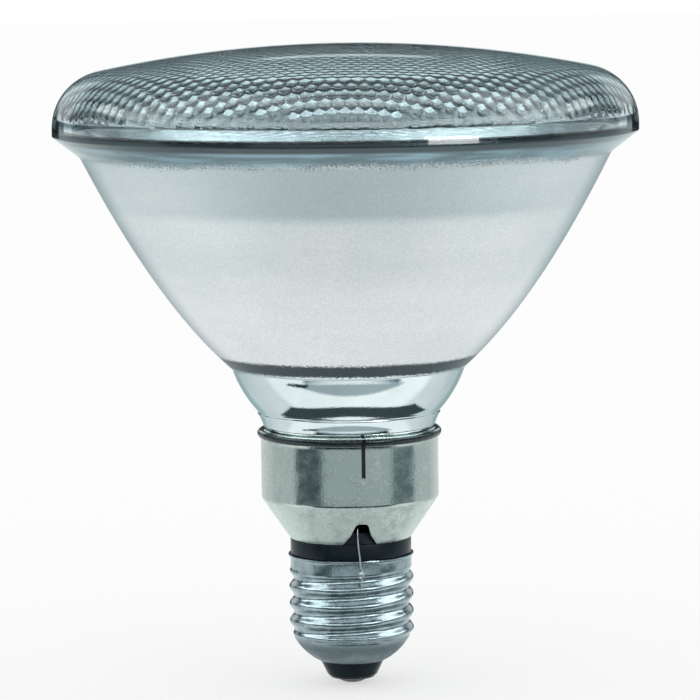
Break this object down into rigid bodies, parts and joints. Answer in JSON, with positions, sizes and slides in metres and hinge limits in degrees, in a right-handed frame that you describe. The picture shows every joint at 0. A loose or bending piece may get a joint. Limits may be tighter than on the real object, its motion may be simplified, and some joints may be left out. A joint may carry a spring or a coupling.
{
  "type": "par spotlight bulb",
  "caption": "Reflector spotlight bulb with a clear stippled glass lens, a silvered glass bowl and a skirted screw cap.",
  "frame": {"origin": "flat end of the solder tip on the centre contact, on the lamp's axis", "axes": "+Z along the axis from the cap to the lens, -Y towards the slit, the notch and the soldered lead"},
  "size_m": [0.122, 0.122, 0.1345],
  "materials": {
    "clear_glass": "clear pressed glass",
    "silvered_glass": "pressed glass, satin outside, silvered inside",
    "nickel_iron": "dull grey",
    "nickel_wire": "drawn wire",
    "tungsten": "dark grey coil",
    "plated_sheet": "bright plated sheet with a mottled bloom",
    "black_plastic": "moulded, half gloss",
    "nickel_plate": "bright nickel plate",
    "black_glass": "glossy black glass",
    "contact_brass": "dull plated brass",
    "solder": "smooth solder"
  },
  "bodies": {
    "root": {"lens": "clear_glass", "reflector": "silvered_glass", "exhaust_tube": "clear_glass", "ferrule_left": "nickel_iron", "ferrule_right": "nickel_iron", "support_post_left": "nickel_wire", "support_post_right": "nickel_wire", "filament": "tungsten", "skirt": "plated_sheet", "insulator_ring": "black_plastic", "screw_shell": "nickel_plate", "base_insulator": "black_glass", "centre_contact": "contact_brass", "contact_solder": "solder", "side_lead_wire": "nickel_wire", "side_solder": "solder", "centre_lead_wire": "nickel_wire"}
  },
  "joints": []
}
